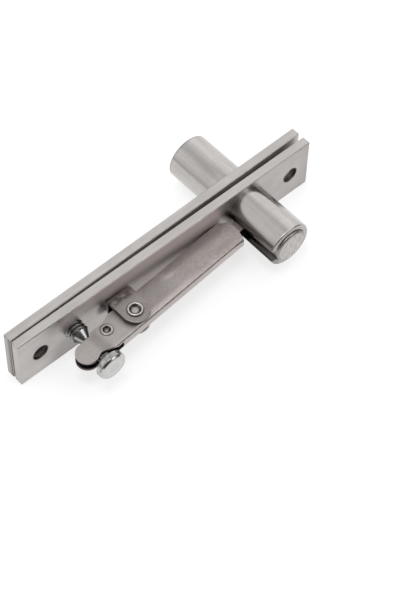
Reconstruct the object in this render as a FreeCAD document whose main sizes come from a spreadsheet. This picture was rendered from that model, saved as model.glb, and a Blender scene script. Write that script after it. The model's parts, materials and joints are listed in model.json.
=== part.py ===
"""Top pivot hinge for a double-action door, as a parametric FreeCAD document.

One half is a plate with a slotted barrel. A pin slides in the barrel and is drawn back by a rocking lever,
which a screw through the plate pushes and pulls. The other half is a plate with a closed socket that turns on the pin.

Frame: millimetres. The origin is on the pivot axis, at the face of the pin plate that lies against the door.
+X runs along the plates to their near end, +Y along the pivot axis from the pin plate to the socket, +Z across the plates.
"""

import FreeCAD, Part
import math
import os

import Sketcher
from FreeCAD import Rotation, Vector

# Driving dimensions: name, value in millimetres or degrees, meaning
DIMENSIONS = [
    ("plate_length", 130.0, "length of each plate"),
    ("plate_width", 22.0, "width of each plate"),
    ("plate_thick", 3.5, "thickness of each plate"),
    ("plate_edge_break", 0.3, "chamfer on the edges of a plate"),
    ("axis_to_end", 29.8, "pivot axis to the near end of a plate"),
    ("fixing_inset", 8.8, "centre of a fixing hole from the end of its plate"),
    ("fixing_dia", 6.0, "fixing hole"),
    ("countersink_dia", 10.5, "countersink of a fixing hole, on the side of the gap"),
    ("countersink_angle", 90.0, "included angle of the countersink"),
    ("barrel_dia", 17.2, "outside of the barrel and of the socket"),
    ("barrel_length", 22.0, "barrel and socket, beyond their plates"),
    ("spigot_dia", 15.0, "part of the barrel and the socket that is pressed into a plate"),
    ("barrel_break", 0.6, "chamfer round the free end of the barrel and the socket"),
    ("bore_break", 0.3, "chamfer at the mouth of the barrel's bore"),
    ("pin_dia", 12.9, "sliding pivot pin"),
    ("pin_clearance", 0.05, "radial clearance of the pin in the barrel"),
    ("pin_proud", 0.95, "outer end of the pin beyond the mouth of the barrel"),
    ("pin_chamfer", 0.6, "chamfer at both ends of the pin"),
    ("socket_clearance", 0.2, "radial clearance of the pin in the socket"),
    ("socket_room", 7.0, "depth of the socket beyond the pin"),
    ("tight_gap", 0.5, "gap between the plates at their far end"),
    ("socket_lean", 0.6, "lean of the socket half on the pin, from the play in its bore"),
    ("lever_tilt", 4.35, "tilt of the lever against the plates, with the pin out"),
    ("lever_swing", 8.0, "swing of the lever that draws the pin back"),
    ("lever_height", 4.4, "folded lever, across its two cheeks"),
    ("lever_sheet", 1.0, "sheet of the lever"),
    ("lever_fold", 1.3, "outside radius of the lever's folds"),
    ("lever_plate_gap", 0.15, "lever to plate, with the pin out"),
    ("pivot_standoff", 9.4, "lever rivet to plate"),
    ("web_reach", 5.3, "lever rivet to the outside of the lever's web"),
    ("web_start", 10.5, "lever rivet to the end of the web, on the side of the screw"),
    ("lever_end_gap", 1.8, "end of the lever to the barrel"),
    ("end_slant", 1.1, "slant of the lever's end, over the half beside the web"),
    ("corner_cut", 1.9, "cut corner of the lever, beside the plate"),
    ("corner_run", 3.0, "length of the cut corner along the lever"),
    ("tongue_width", 4.0, "tongue of the lever in the pin"),
    ("tongue_to_axis", 4.7, "centre of the tongue's round end to the pivot axis"),
    ("tongue_play", 0.3, "play of the tongue in the pin, on each side"),
    ("tongue_end_room", 1.0, "end of the tongue to the bottom of the pin's slot"),
    ("slot_side_play", 0.3, "lever to the sides of the slots, above and below"),
    ("screw_to_end", 23.0, "axis of the screw to the far end of its plate"),
    ("screw_arm", 18.5, "lever rivet to the axis of the screw"),
    ("nose_past_screw", 3.75, "centre of the lever's nose beyond the axis of the screw"),
    ("nose_radius", 4.1, "round nose of the lever"),
    ("nose_drop", 0.2, "centre of the nose below the middle of the lever"),
    ("neck_radius", 3.0, "hollow beside the nose, round the screw"),
    ("neck_slope", 20.0, "slope of the lever's edge from the neck to the web"),
    ("neck_from", 60.0, "direction from the nose's centre to where the hollow starts"),
    ("taper_start", 7.0, "lever rivet to the start of the taper on the side of the plate"),
    ("taper_end", 13.5, "lever rivet to the end of that taper"),
    ("bracket_sheet", 1.4, "sheet of the bracket"),
    ("bracket_radius", 5.0, "round end of the bracket's ears"),
    ("bracket_bend", 1.7, "outside radius of the bracket's bends"),
    ("bracket_play", 0.1, "lever to each ear"),
    ("rivet_dia", 4.0, "shank of the lever rivet"),
    ("rivet_clearance", 0.05, "radial clearance of the lever on its rivet"),
    ("rivet_rim_dia", 5.6, "rolled rim and flat head of the lever rivet"),
    ("rivet_head", 0.9, "thickness of the lever rivet's flat head"),
    ("rivet_rim", 0.6, "height of the lever rivet's rolled rim"),
    ("rivet_rim_break", 0.3, "rounding of that rim"),
    ("rivet_mouth_dia", 4.0, "hollow end of the lever rivet, at its mouth"),
    ("rivet_eye_dia", 2.2, "bottom of that hollow"),
    ("rivet_eye_depth", 0.5, "bottom of that hollow below the bracket's ear"),
    ("spacer_arm", 11.5, "lever rivet to spacer rivet, along the lever"),
    ("spacer_rise", 1.75, "spacer rivet towards the plate"),
    ("spacer_body_dia", 4.0, "spacer rivet between the cheeks"),
    ("spacer_end_dia", 3.0, "spacer rivet in the cheeks"),
    ("spacer_rim_dia", 4.6, "flat rims of the spacer rivet"),
    ("spacer_rim", 0.25, "height of those rims"),
    ("spacer_rim_break", 0.12, "rounding of those rims"),
    ("spacer_mouth_dia", 2.8, "hollow ends of the spacer rivet, at their mouths"),
    ("spacer_eye_dia", 1.5, "bottoms of those hollows"),
    ("spacer_eye_depth", 0.6, "bottoms of those hollows below the cheeks"),
    ("thread_dia", 7.2, "thread of the screw"),
    ("thread_clearance", 0.05, "radial clearance of the thread"),
    ("tail_clearance", 0.25, "tail of the screw to the socket plate, with the pin drawn back"),
    ("cone_base_dia", 7.0, "wide end of the cone that bears on the lever's cheeks"),
    ("cone_length", 3.3, "length of that cone"),
    ("screw_neck_play", 0.1, "radial clearance of the screw's neck between the cheeks"),
    ("collar_play", 1.1, "lever's outer edge to the collar of the screw"),
    ("collar_dia", 5.2, "collar under the button"),
    ("collar_length", 2.2, "length of that collar"),
    ("button_dia", 10.6, "button at the outer end of the screw"),
    ("button_thick", 2.9, "thickness of the button"),
    ("button_round", 0.5, "rounded rims of the button"),
    ("key_flats", 3.0, "hexagon socket in the tail of the screw, across flats"),
    ("key_depth", 2.2, "depth of the hexagon socket"),
]

# Sizes that follow from the driving dimensions, as expressions on the sheet
FAR_END = "(dims.plate_length - dims.axis_to_end)"
LEAN_SLOPE = "tan(dims.socket_lean * 1 deg)"
AXIS_GAP = f"(dims.tight_gap + {FAR_END} * {LEAN_SLOPE})"
SCREW_X = f"({FAR_END} - dims.screw_to_end)"
PIVOT_X = f"({SCREW_X} - dims.screw_arm)"
SCREW_GAP = f"(dims.tight_gap + dims.screw_to_end * {LEAN_SLOPE})"
TILT = "(dims.lever_tilt * 1 deg)"
SWING_SINE = f"(sin({TILT}) + sin((dims.lever_swing - dims.lever_tilt) * 1 deg))"
BORE_RADIUS = "(dims.pin_dia / 2 + dims.pin_clearance)"
SLOT_HEIGHT = "(dims.lever_height + 2 * dims.slot_side_play)"
TONGUE_ARM = f"({PIVOT_X} - dims.tongue_to_axis)"
PIN_STROKE = f"({TONGUE_ARM} * {SWING_SINE})"
TONGUE_Y = f"({TONGUE_ARM} * sin({TILT}) - dims.pivot_standoff)"
LEVER_END = f"({PIVOT_X} - dims.barrel_dia / 2 - dims.lever_end_gap)"
EDGE_END = f"({LEVER_END} - dims.corner_run)"
EDGE_REACH = (
    f"((dims.pivot_standoff - dims.lever_plate_gap - {EDGE_END} * sin({TILT})) / cos({TILT}))"
)
NOSE_U = "(-dims.screw_arm - dims.nose_past_screw)"
NOSE_TOP = "(dims.nose_radius - dims.nose_drop)"
CHEEK_INSIDE = "(dims.lever_height / 2 - dims.lever_sheet)"
EAR_INSIDE = "(dims.lever_height / 2 + dims.bracket_play)"
EAR_OUTSIDE = f"({EAR_INSIDE} + dims.bracket_sheet)"
NECK_BOTTOM = (
    "(dims.nose_drop + (dims.nose_radius + dims.neck_radius) * sin(dims.neck_from * 1 deg) - dims.neck_radius)"
)
SCREW_LEVER_Y = f"(-dims.pivot_standoff - dims.screw_arm * tan({TILT}))"
CONE_TIP = f"({SCREW_LEVER_Y} + {NOSE_TOP} / cos({TILT}))"
COLLAR_START = f"({SCREW_LEVER_Y} - {NECK_BOTTOM} / cos({TILT}) - dims.collar_play)"
SCREW_TRAVEL = f"(dims.screw_arm * {SWING_SINE})"
TAIL = f"(dims.plate_thick + {SCREW_GAP} - dims.tail_clearance - {SCREW_TRAVEL})"
OVERSHOOT = "2"

doc = FreeCAD.newDocument("pivot_hinge")
sheet = doc.addObject("Spreadsheet::Sheet", "dims")
for row, (alias, value, meaning) in enumerate(DIMENSIONS, start=1):
    sheet.set(f"A{row}", alias)
    sheet.set(f"B{row}", str(value))
    sheet.setAlias(f"B{row}", alias)
    sheet.set(f"C{row}", meaning)
doc.recompute()


def value_of(expression):
    """The number that an expression on the sheet gives now."""
    result = sheet.evalExpression(expression)
    return float(getattr(result, "Value", result))


def new_body(label):
    body = doc.addObject("PartDesign::Body", label)
    body.Label = label
    return body


def new_sketch(body, name, plane, offset=None):
    """A sketch on one of the body's own origin planes, moved along the plane's normal by offset."""
    sketch = body.newObject("Sketcher::SketchObject", name)
    support = next(item for item in body.Origin.OriginFeatures if item.Role == plane)
    sketch.AttachmentSupport = [(support, "")]
    sketch.MapMode = "FlatFace"
    if offset:
        sketch.setExpression("AttachmentOffset.Base.z", offset)
    return sketch


def bind(sketch, constraint, expression):
    index = sketch.addConstraint(constraint)
    sketch.setExpression(f"Constraints[{index}]", expression)


def pin_point(sketch, geometry, position, x, y):
    """Ties a point of the sketch to its origin by two expressions."""
    for kind, expression in (("DistanceX", x), ("DistanceY", y)):
        start = Sketcher.Constraint(kind, -1, 1, geometry, position, value_of(expression))
        bind(sketch, start, expression)


def arc_between(start, end, radius, turn, major):
    """Arc from start to end: turn is 1 for anticlockwise and -1 for clockwise."""
    chord = end - start
    across = Vector(-chord.y, chord.x, 0).normalize()
    rise = math.sqrt(max(radius**2 - chord.Length**2 / 4, 0.0))
    centre = (start + end) / 2 + across * rise * turn * (-1 if major else 1)
    first, last = (start, end) if turn > 0 else (end, start)
    angles = [math.atan2(point.y - centre.y, point.x - centre.x) for point in (first, last)]
    if angles[1] <= angles[0]:
        angles[1] += 2 * math.pi
    return Part.ArcOfCircle(Part.Circle(centre, Vector(0, 0, 1), radius), *angles)


def draw_outline(sketch, corners):
    """Closed outline. A corner is (x, y), or (x, y, radius, turn, major) where an arc leaves it."""
    points = [Vector(value_of(corner[0]), value_of(corner[1]), 0) for corner in corners]
    ends = []
    for number, corner in enumerate(corners):
        start, end = points[number], points[(number + 1) % len(points)]
        if len(corner) == 2:
            geometry = sketch.addGeometry(Part.LineSegment(start, end))
            ends.append((geometry, 1, 2))
            continue
        radius, turn, major = corner[2:]
        arc = arc_between(start, end, value_of(radius), turn, major)
        geometry = sketch.addGeometry(arc)
        ends.append((geometry, 1, 2) if turn > 0 else (geometry, 2, 1))
    for number, corner in enumerate(corners):
        geometry, first, _ = ends[number]
        before, _, last = ends[number - 1]
        sketch.addConstraint(Sketcher.Constraint("Coincident", before, last, geometry, first))
        pin_point(sketch, geometry, first, corner[0], corner[1])
        if len(corner) > 2:
            bind(sketch, Sketcher.Constraint("Radius", geometry, value_of(corner[2])), corner[2])


def draw_rectangle(sketch, left, right, bottom, top):
    draw_outline(sketch, [(left, bottom), (right, bottom), (right, top), (left, top)])


def draw_circle(sketch, x, y, diameter):
    start = Part.Circle(Vector(value_of(x), value_of(y), 0), Vector(0, 0, 1), value_of(diameter) / 2)
    geometry = sketch.addGeometry(start)
    pin_point(sketch, geometry, 3, x, y)
    bind(sketch, Sketcher.Constraint("Diameter", geometry, value_of(diameter)), diameter)


def draw_channel(sketch, web, opening, side, height, sheet_size, fold):
    """Section of a folded channel. web and opening are where it starts and ends, side is 1 or -1 from web to opening."""
    inner = f"({fold} - {sheet_size})"
    top = f"({height} / 2)"
    inside = f"({top} - {sheet_size})"
    floor = f"({web} + ({side}) * {sheet_size})"
    bend = f"({web} + ({side}) * {fold})"
    draw_outline(
        sketch,
        [
            (opening, top),
            (bend, top, fold, side, False),
            (web, f"{top} - {fold}"),
            (web, f"{fold} - {top}", fold, side, False),
            (bend, f"-{top}"),
            (opening, f"-{top}"),
            (opening, f"-{inside}"),
            (bend, f"-{inside}", inner, -side, False),
            (floor, f"{inner} - {inside}"),
            (floor, f"{inside} - {inner}", inner, -side, False),
            (bend, inside),
            (opening, inside),
        ],
    )


def add_pad(body, name, sketch, length, reverse=False):
    pad = body.newObject("PartDesign::Pad", name)
    pad.Profile = sketch
    pad.setExpression("Length", length)
    pad.Reversed = reverse
    doc.recompute()
    return pad


def add_cut(body, name, sketch, length=None, both_sides=False, reverse=False):
    """Pocket of the given length, or right through, which has to take something away."""
    before = body.Shape.Volume
    pocket = body.newObject("PartDesign::Pocket", name)
    pocket.Profile = sketch
    pocket.Reversed = reverse
    if both_sides:
        pocket.SideType = "Symmetric"
    if length:
        pocket.setExpression("Length", length)
    else:
        pocket.Type = "ThroughAll"
    doc.recompute()
    if body.Shape.Volume >= before - 1e-6:
        raise RuntimeError(f"{body.Label}: {name} cuts nothing")
    return pocket


def add_turning(body, name, plane, corners):
    """Solid of revolution about the vertical axis of a sketch, whose outline is half of the section."""
    sketch = new_sketch(body, f"{name}_profile", plane)
    draw_outline(sketch, corners)
    turning = body.newObject("PartDesign::Revolution", name)
    turning.Profile = sketch
    turning.ReferenceAxis = (sketch, ["V_Axis"])
    turning.Angle = 360
    doc.recompute()
    return turning


def place(body, x="0", y="0", turn=None):
    """Puts a body at x and y, turned about the vertical by an angle in degrees."""
    body.setExpression("Placement.Base.x", x)
    body.setExpression("Placement.Base.y", y)
    if turn:
        body.Placement = FreeCAD.Placement(body.Placement.Base, Rotation(Vector(0, 0, 1), value_of(turn)))
        body.setExpression("Placement.Rotation.Angle", f"({turn}) * 1 deg")


def build_plate(label, gap_face, countersink_reversed):
    """Flat bar with edges broken, a seat for its barrel and two fixing holes countersunk from the gap."""
    body = new_body(label)
    outline = new_sketch(body, f"{label}_outline", "XZ_Plane")
    half = "(dims.plate_width / 2)"
    draw_rectangle(outline, f"-{FAR_END}", "dims.axis_to_end", f"-{half}", half)
    bar = add_pad(body, f"{label}_bar", outline, "dims.plate_thick", reverse=True)
    broken = body.newObject("PartDesign::Chamfer", f"{label}_edges")
    broken.Base = (bar, [f"Edge{number}" for number in range(1, len(bar.Shape.Edges) + 1)])
    broken.setExpression("Size", "dims.plate_edge_break")
    doc.recompute()
    seat = new_sketch(body, f"{label}_seat", "XZ_Plane")
    draw_circle(seat, "0", "0", "dims.spigot_dia")
    add_cut(body, f"{label}_barrel_hole", seat, both_sides=True)
    fixing = new_sketch(body, f"{label}_fixing", "XZ_Plane", f"-{gap_face}")
    for x in (f"dims.fixing_inset - {FAR_END}", "dims.axis_to_end - dims.fixing_inset"):
        draw_circle(fixing, x, "0", "dims.fixing_dia")
    doc.recompute()
    before = body.Shape.Volume
    hole = body.newObject("PartDesign::Hole", f"{label}_fixing_holes")
    hole.Profile = fixing
    doc.recompute()
    hole.DepthType = "ThroughAll"
    hole.ThreadType = "None"
    hole.HoleCutType = "Countersink"
    hole.HoleCutCustomValues = True
    hole.Reversed = countersink_reversed
    hole.setExpression("Diameter", "dims.fixing_dia")
    hole.setExpression("HoleCutDiameter", "dims.countersink_dia")
    hole.setExpression("HoleCutCountersinkAngle", "dims.countersink_angle")
    doc.recompute()
    if body.Shape.Volume >= before - 1e-6:
        raise RuntimeError(f"{label}: the fixing holes cut nothing")
    return body


def build_pin_plate():
    body = build_plate("pin_plate", "dims.plate_thick", True)
    tapped = new_sketch(body, "tapped_hole", "XZ_Plane")
    draw_circle(tapped, f"-{SCREW_X}", "0", "dims.thread_dia + 2 * dims.thread_clearance")
    add_cut(body, "pin_plate_tapped_hole", tapped, both_sides=True)
    return body


def build_slotted_barrel():
    """Tube with a shoulder on the plate and a slot for the lever that runs out at its mouth."""
    body = new_body("slotted_barrel")
    outside, spigot = "dims.barrel_dia / 2", "dims.spigot_dia / 2"
    mouth = "-dims.barrel_length"
    section = [
        (BORE_RADIUS, "dims.plate_thick"),
        (BORE_RADIUS, f"{mouth} + dims.bore_break"),
        (f"{BORE_RADIUS} + dims.bore_break", mouth),
        (f"{outside} - dims.barrel_break", mouth),
        (outside, f"{mouth} + dims.barrel_break"),
        (outside, "0"),
        (spigot, "0"),
        (spigot, "dims.plate_thick"),
    ]
    # The section is drawn on the side of the slot, so the turning's seam is cut away with it
    add_turning(body, "barrel_tube", "XY_Plane", [(f"-({radius})", y) for radius, y in section])
    slot = new_sketch(body, "lever_slot", "YZ_Plane")
    half = f"({SLOT_HEIGHT} / 2)"
    inner_end = f"{TONGUE_Y} + dims.tongue_width / 2 + dims.tongue_play"
    draw_rectangle(slot, f"{mouth} - {OVERSHOOT}", inner_end, f"-{half}", half)
    add_cut(body, "barrel_lever_slot", slot)
    return body


def build_pivot_pin():
    """Sliding pin with a cross slot for the lever's tongue."""
    body = new_body("pivot_pin")
    radius, chamfer = "dims.pin_dia / 2", "dims.pin_chamfer"
    outer_end = "(-dims.barrel_length - dims.pin_proud)"
    nose = f"(dims.plate_thick + {PIN_STROKE})"
    add_turning(
        body,
        "pin_bar",
        "XY_Plane",
        [
            ("0", outer_end),
            (f"{radius} - {chamfer}", outer_end),
            (radius, f"{outer_end} + {chamfer}"),
            (radius, f"{nose} - {chamfer}"),
            (f"{radius} - {chamfer}", nose),
            ("0", nose),
        ],
    )
    floor = "(dims.tongue_width / 2 + dims.tongue_end_room - dims.tongue_to_axis)"
    slot = new_sketch(body, "tongue_slot", "YZ_Plane", floor)
    half_width = "(dims.tongue_width / 2 + dims.tongue_play)"
    half_height = f"({SLOT_HEIGHT} / 2)"
    draw_rectangle(
        slot, f"{TONGUE_Y} - {half_width}", f"{TONGUE_Y} + {half_width}", f"-{half_height}", half_height
    )
    add_cut(body, "pin_tongue_slot", slot)
    return body


def lever_outline():
    """Flat shape of the lever's cheeks: x along the lever from its rivet, y towards the plate."""
    tongue = "(dims.tongue_width / 2)"
    below_web = f"(-dims.web_reach - {OVERSHOOT})"
    start, slope = "(dims.neck_from * 1 deg)", "(dims.neck_slope * 1 deg)"
    hollow_u = f"({NOSE_U} + (dims.nose_radius + dims.neck_radius) * cos({start}))"
    hollow_v = f"(-dims.nose_drop - (dims.nose_radius + dims.neck_radius) * sin({start}))"
    leave_u = f"({hollow_u} + dims.neck_radius * sin({slope}))"
    leave_v = f"({hollow_v} + dims.neck_radius * cos({slope}))"
    slant = f"dims.end_slant * (dims.web_reach + {OVERSHOOT} - {tongue}) / (dims.web_reach - {tongue})"
    return [
        (f"{LEVER_END} - {slant}", below_web),
        (LEVER_END, f"-{tongue}"),
        (TONGUE_ARM, f"-{tongue}", tongue, 1, False),
        (f"{TONGUE_ARM} + {tongue}", "0", tongue, 1, False),
        (TONGUE_ARM, tongue),
        (LEVER_END, tongue),
        (LEVER_END, f"{EDGE_REACH} - dims.corner_cut"),
        (EDGE_END, EDGE_REACH),
        ("-dims.taper_start", EDGE_REACH),
        ("-dims.taper_end", NOSE_TOP),
        (NOSE_U, NOSE_TOP, "dims.nose_radius", 1, True),
        (
            f"{NOSE_U} + dims.nose_radius * cos({start})",
            f"-dims.nose_drop - dims.nose_radius * sin({start})",
            "dims.neck_radius",
            -1,
            False,
        ),
        (leave_u, leave_v),
        (f"{leave_u} + ({leave_v} - {below_web}) / tan({slope})", below_web),
    ]


def build_rocker_lever():
    """Channel folded from sheet, cut to the outline of its cheeks, with no web beside the screw."""
    body = new_body("rocker_lever")
    left = f"({NOSE_U} - dims.nose_radius - {OVERSHOOT})"
    right = f"({TONGUE_ARM} + dims.tongue_width / 2 + {OVERSHOOT})"
    top = f"({EDGE_REACH} + {OVERSHOOT})"
    section = new_sketch(body, "lever_section", "YZ_Plane", left)
    draw_channel(
        section, "(-dims.web_reach)", top, 1, "dims.lever_height", "dims.lever_sheet", "dims.lever_fold"
    )
    add_pad(body, "lever_channel", section, f"{right} - {left}")
    waste = new_sketch(body, "lever_blank", "XY_Plane")
    margin = f"(2 * {OVERSHOOT})"
    draw_rectangle(
        waste, f"{left} - {margin}", f"{right} + {margin}", f"-dims.web_reach - 2 * {margin}", f"{top} + {margin}"
    )
    draw_outline(waste, lever_outline())
    add_cut(body, "lever_outline_cut", waste, both_sides=True)
    window = new_sketch(body, "web_window", "XY_Plane")
    draw_rectangle(
        window, f"{left} - {margin}", "-dims.web_start", f"-dims.web_reach - {OVERSHOOT}", NOSE_TOP
    )
    add_cut(body, "lever_web_window", window, f"2 * {CHEEK_INSIDE}", both_sides=True)
    holes = new_sketch(body, "lever_holes", "XY_Plane")
    draw_circle(holes, "0", "0", "dims.rivet_dia + 2 * dims.rivet_clearance")
    draw_circle(holes, "-dims.spacer_arm", "dims.spacer_rise", "dims.spacer_end_dia")
    add_cut(body, "lever_rivet_holes", holes, both_sides=True)
    place(body, f"-{PIVOT_X}", "-dims.pivot_standoff", "dims.lever_tilt")
    return body


def build_lever_bracket():
    """Folded bracket: its base lies on the plate and its two round ears hold the lever rivet."""
    body = new_body("lever_bracket")
    radius = "dims.bracket_radius"
    tip = f"(-dims.pivot_standoff - {radius})"
    section = new_sketch(body, "bracket_section", "YZ_Plane", f"-{radius}")
    draw_channel(
        section, "0", tip, -1, f"(2 * {EAR_OUTSIDE})", "dims.bracket_sheet", "dims.bracket_bend"
    )
    add_pad(body, "bracket_channel", section, f"2 * {radius}")
    waste = new_sketch(body, "bracket_blank", "XY_Plane")
    margin = f"({radius} + {OVERSHOOT})"
    draw_outline(
        waste,
        [
            (f"-{radius}", "-dims.pivot_standoff", radius, 1, False),
            ("0", tip, radius, 1, False),
            (radius, "-dims.pivot_standoff"),
            (margin, "-dims.pivot_standoff"),
            (margin, f"{tip} - {OVERSHOOT}"),
            (f"-{margin}", f"{tip} - {OVERSHOOT}"),
            (f"-{margin}", "-dims.pivot_standoff"),
        ],
    )
    add_cut(body, "bracket_round_ears", waste, both_sides=True)
    hole = new_sketch(body, "bracket_holes", "XY_Plane")
    draw_circle(hole, "0", "-dims.pivot_standoff", "dims.rivet_dia")
    add_cut(body, "bracket_rivet_holes", hole, both_sides=True)
    place(body, f"-{PIVOT_X}")
    return body


def build_lever_rivet():
    """Semi-tubular rivet: a flat head under the lower ear and a rolled rim on the upper one."""
    body = new_body("lever_rivet")
    shank, rim, eye = "(dims.rivet_dia / 2)", "(dims.rivet_rim_dia / 2)", "(dims.rivet_eye_dia / 2)"
    head = f"(-{EAR_OUTSIDE} - dims.rivet_head)"
    top = f"({EAR_OUTSIDE} + dims.rivet_rim)"
    rounding = "dims.rivet_rim_break"
    add_turning(
        body,
        "rivet_turning",
        "XZ_Plane",
        [
            ("0", head),
            (rim, head),
            (rim, f"-{EAR_OUTSIDE}"),
            (shank, f"-{EAR_OUTSIDE}"),
            (shank, EAR_OUTSIDE),
            (rim, EAR_OUTSIDE),
            (rim, f"{top} - {rounding}"),
            (f"{rim} - {rounding}", top),
            ("dims.rivet_mouth_dia / 2", top),
            (eye, f"{EAR_OUTSIDE} - dims.rivet_eye_depth"),
            ("0", f"{EAR_OUTSIDE} - dims.rivet_eye_depth"),
        ],
    )
    place(body, f"-{PIVOT_X}", "-dims.pivot_standoff")
    return body


def build_spacer_rivet():
    """Shouldered rivet that keeps the two cheeks apart beside the screw, rolled over at both ends."""
    body = new_body("spacer_rivet")
    middle, end = "(dims.spacer_body_dia / 2)", "(dims.spacer_end_dia / 2)"
    rim, eye = "(dims.spacer_rim_dia / 2)", "(dims.spacer_eye_dia / 2)"
    mouth = "(dims.spacer_mouth_dia / 2)"
    cheek = "(dims.lever_height / 2)"
    floor = f"({cheek} - dims.spacer_eye_depth)"
    top = f"({cheek} + dims.spacer_rim)"
    rounding = "dims.spacer_rim_break"
    add_turning(
        body,
        "spacer_turning",
        "XZ_Plane",
        [
            ("0", f"-{floor}"),
            (eye, f"-{floor}"),
            (mouth, f"-{top}"),
            (f"{rim} - {rounding}", f"-{top}"),
            (rim, f"{rounding} - {top}"),
            (rim, f"-{cheek}"),
            (end, f"-{cheek}"),
            (end, f"-{CHEEK_INSIDE}"),
            (middle, f"-{CHEEK_INSIDE}"),
            (middle, CHEEK_INSIDE),
            (end, CHEEK_INSIDE),
            (end, cheek),
            (rim, cheek),
            (rim, f"{top} - {rounding}"),
            (f"{rim} - {rounding}", top),
            (mouth, top),
            (eye, floor),
            ("0", floor),
        ],
    )
    along, towards = "dims.spacer_arm", "dims.spacer_rise"
    x = f"-{PIVOT_X} - {along} * cos({TILT}) - {towards} * sin({TILT})"
    y = f"-dims.pivot_standoff - {along} * sin({TILT}) + {towards} * cos({TILT})"
    place(body, x, y)
    return body


def build_adjusting_screw():
    """Screw with a hexagon socket in its tail, a cone and a button that hold the lever's cheeks between them."""
    body = new_body("adjusting_screw")
    thread, collar, button = "(dims.thread_dia / 2)", "(dims.collar_dia / 2)", "(dims.button_dia / 2)"
    neck = f"({CHEEK_INSIDE} - dims.screw_neck_play)"
    under = f"({COLLAR_START} - dims.collar_length)"
    face = f"({under} - dims.button_thick)"
    rim = "dims.button_round"
    add_turning(
        body,
        "screw_turning",
        "XY_Plane",
        [
            ("0", TAIL),
            ("0", face),
            (f"{button} - {rim}", face, rim, 1, False),
            (button, f"{face} + {rim}"),
            (button, f"{under} - {rim} / 2"),
            (f"{button} - {rim} / 2", under),
            (collar, under),
            (collar, COLLAR_START),
            (neck, COLLAR_START),
            (neck, CONE_TIP),
            ("dims.cone_base_dia / 2", f"{CONE_TIP} + dims.cone_length"),
            (thread, f"{CONE_TIP} + dims.cone_length"),
            (thread, TAIL),
        ],
    )
    socket = new_sketch(body, "key_socket", "XZ_Plane", f"-{TAIL}")
    corner = "(dims.key_flats / sqrt(3))"
    corners = [(f"{corner} * cos({60 * n} deg)", f"{corner} * sin({60 * n} deg)") for n in range(6)]
    draw_outline(socket, corners)
    add_cut(body, "screw_key_socket", socket, "dims.key_depth", reverse=True)
    place(body, f"-{SCREW_X}")
    return body


def place_socket_half(body):
    """The socket half leans on the pin, so its plate is nearest to the other one at the far end."""
    place(body, "0", f"dims.plate_thick + {AXIS_GAP}", "dims.socket_lean")


def build_socket_plate():
    body = build_plate("socket_plate", "0", False)
    place_socket_half(body)
    return body


def build_socket_barrel():
    """Closed socket, turned from bar, that the pin enters."""
    body = new_body("socket_barrel")
    outside, spigot = "dims.barrel_dia / 2", "dims.spigot_dia / 2"
    bore = "(dims.pin_dia / 2 + dims.socket_clearance)"
    floor = f"({PIN_STROKE} - {AXIS_GAP} + dims.socket_room)"
    end = "(dims.plate_thick + dims.barrel_length)"
    add_turning(
        body,
        "socket_turning",
        "XY_Plane",
        [
            (bore, "0"),
            (spigot, "0"),
            (spigot, "dims.plate_thick"),
            (outside, "dims.plate_thick"),
            (outside, f"{end} - dims.barrel_break"),
            (f"{outside} - dims.barrel_break", end),
            ("0", end),
            ("0", floor),
            (bore, floor),
        ],
    )
    place_socket_half(body)
    return body


BUILDERS = (
    build_pin_plate,
    build_slotted_barrel,
    build_pivot_pin,
    build_rocker_lever,
    build_lever_bracket,
    build_lever_rivet,
    build_spacer_rivet,
    build_adjusting_screw,
    build_socket_plate,
    build_socket_barrel,
)


def main():
    bodies = [builder() for builder in BUILDERS]
    doc.recompute()
    for item in doc.Objects:
        if {"Invalid", "Error"} & set(item.State):
            raise RuntimeError(f"{item.Label} failed: {item.State}")
    for body in bodies:
        shape = body.Shape
        if shape.isNull() or not shape.isValid() or len(shape.Solids) != 1:
            raise RuntimeError(f"{body.Label} is not one valid solid")
    os.makedirs("parts", exist_ok=True)
    for body in bodies:
        body.Shape.exportStep(f"parts/{body.Label}.step")
        box = body.Shape.BoundBox
        print(
            f"{body.Label}: {body.Shape.Volume:.1f} mm3, x {box.XMin:.2f} to {box.XMax:.2f}, "
            f"y {box.YMin:.2f} to {box.YMax:.2f}, z {box.ZMin:.2f} to {box.ZMax:.2f}"
        )
    print(f"pin stroke {value_of(PIN_STROKE):.3f}, screw travel {value_of(SCREW_TRAVEL):.3f}")


main()
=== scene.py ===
# %% [markdown]
# # A concealed pivot hinge, dressed for the camera
# The hinge comes from CAD as a frame of ten solids in metres. This lesson turns its round parts again as
# smooth surfaces, softens the edges of the flat ones, winds the screw's thread, and gives every piece its
# own steel.

# %% Load the frame
import json
import math

import bmesh
import bpy
from mathutils import Matrix, Vector

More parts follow.
